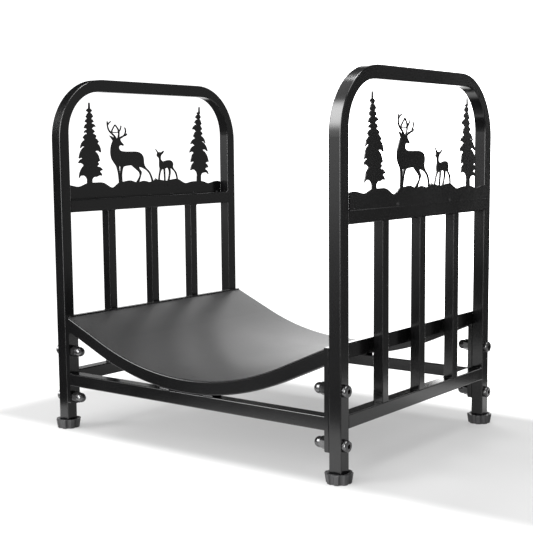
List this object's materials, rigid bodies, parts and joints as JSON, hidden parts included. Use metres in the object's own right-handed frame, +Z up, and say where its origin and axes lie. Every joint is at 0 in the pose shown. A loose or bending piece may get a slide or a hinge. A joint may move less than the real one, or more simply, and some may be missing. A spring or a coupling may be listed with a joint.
{
  "type": "firewood log rack",
  "caption": "Small fireside log rack: arched steel end frames with cut-out woodland plates, bolted to a low base with a curved log tray, on adjustable levelling feet.",
  "frame": {"origin": "centre of the footprint, on the floor", "axes": "+X from the left end frame to the right one, +Y from the front to the back, +Z up"},
  "size_m": [0.4622, 0.3622, 0.454],
  "materials": {
    "frame_steel": "semi-gloss black powder coat",
    "tray_steel": "satin black powder coat on sheet steel",
    "fastener_steel": "black coated steel, glossy",
    "foot_plastic": "moulded black plastic",
    "stem_steel": "zinc plated steel"
  },
  "bodies": {
    "rack": {"left_arch_tube": "frame_steel", "left_lower_cross_rail": "frame_steel", "left_upper_cross_rail": "frame_steel", "left_front_slat": "frame_steel", "left_middle_slat": "frame_steel", "left_back_slat": "frame_steel", "left_woodland_plate": "frame_steel", "right_arch_tube": "frame_steel", "right_lower_cross_rail": "frame_steel", "right_upper_cross_rail": "frame_steel", "right_front_slat": "frame_steel", "right_middle_slat": "frame_steel", "right_back_slat": "frame_steel", "right_woodland_plate": "frame_steel", "left_end_bar": "frame_steel", "right_end_bar": "frame_steel", "front_lower_rail": "frame_steel", "front_curved_rail": "frame_steel", "back_lower_rail": "frame_steel", "back_curved_rail": "frame_steel", "front_left_mounting_plate": "frame_steel", "front_right_mounting_plate": "frame_steel", "back_left_mounting_plate": "frame_steel", "back_right_mounting_plate": "frame_steel", "tray_sheet": "tray_steel", "frame_bolts": "fastener_steel", "cap_nuts": "fastener_steel", "front_left_post_insert": "foot_plastic", "front_right_post_insert": "foot_plastic", "back_left_post_insert": "foot_plastic", "back_right_post_insert": "foot_plastic"},
    "front_left_stem": {"front_left_leveller_stem": "stem_steel"},
    "front_left_turning_foot": {"front_left_foot": "foot_plastic"},
    "front_right_stem": {"front_right_leveller_stem": "stem_steel"},
    "front_right_turning_foot": {"front_right_foot": "foot_plastic"},
    "back_left_stem": {"back_left_leveller_stem": "stem_steel"},
    "back_left_turning_foot": {"back_left_foot": "foot_plastic"},
    "back_right_stem": {"back_right_leveller_stem": "stem_steel"},
    "back_right_turning_foot": {"back_right_foot": "foot_plastic"}
  },
  "joints": [
    {"name": "front_left_height", "type": "slide", "parent": "rack", "child": "front_left_stem", "axis": [0, 0, -1], "range_m": [0, 0.01]},
    {"name": "front_left_turn", "type": "hinge", "parent": "front_left_stem", "child": "front_left_turning_foot", "pos_m": [-0.2155, -0.1655, 0], "axis": [0, 0, -1], "range_deg": [0, 2880]},
    {"name": "front_right_height", "type": "slide", "parent": "rack", "child": "front_right_stem", "axis": [0, 0, -1], "range_m": [0, 0.01]},
    {"name": "front_right_turn", "type": "hinge", "parent": "front_right_stem", "child": "front_right_turning_foot", "pos_m": [0.2155, -0.1655, 0], "axis": [0, 0, -1], "range_deg": [0, 2880]},
    {"name": "back_left_height", "type": "slide", "parent": "rack", "child": "back_left_stem", "axis": [0, 0, -1], "range_m": [0, 0.01]},
    {"name": "back_left_turn", "type": "hinge", "parent": "back_left_stem", "child": "back_left_turning_foot", "pos_m": [-0.2155, 0.1655, 0], "axis": [0, 0, -1], "range_deg": [0, 2880]},
    {"name": "back_right_height", "type": "slide", "parent": "rack", "child": "back_right_stem", "axis": [0, 0, -1], "range_m": [0, 0.01]},
    {"name": "back_right_turn", "type": "hinge", "parent": "back_right_stem", "child": "back_right_turning_foot", "pos_m": [0.2155, 0.1655, 0], "axis": [0, 0, -1], "range_deg": [0, 2880]}
  ],
  "couplings": [
    {"joint": "front_left_turn", "follows": "front_left_height", "rad_per_m": 5026.5},
    {"joint": "front_right_turn", "follows": "front_right_height", "rad_per_m": 5026.5},
    {"joint": "back_left_turn", "follows": "back_left_height", "rad_per_m": 5026.5},
    {"joint": "back_right_turn", "follows": "back_right_height", "rad_per_m": 5026.5}
  ]
}
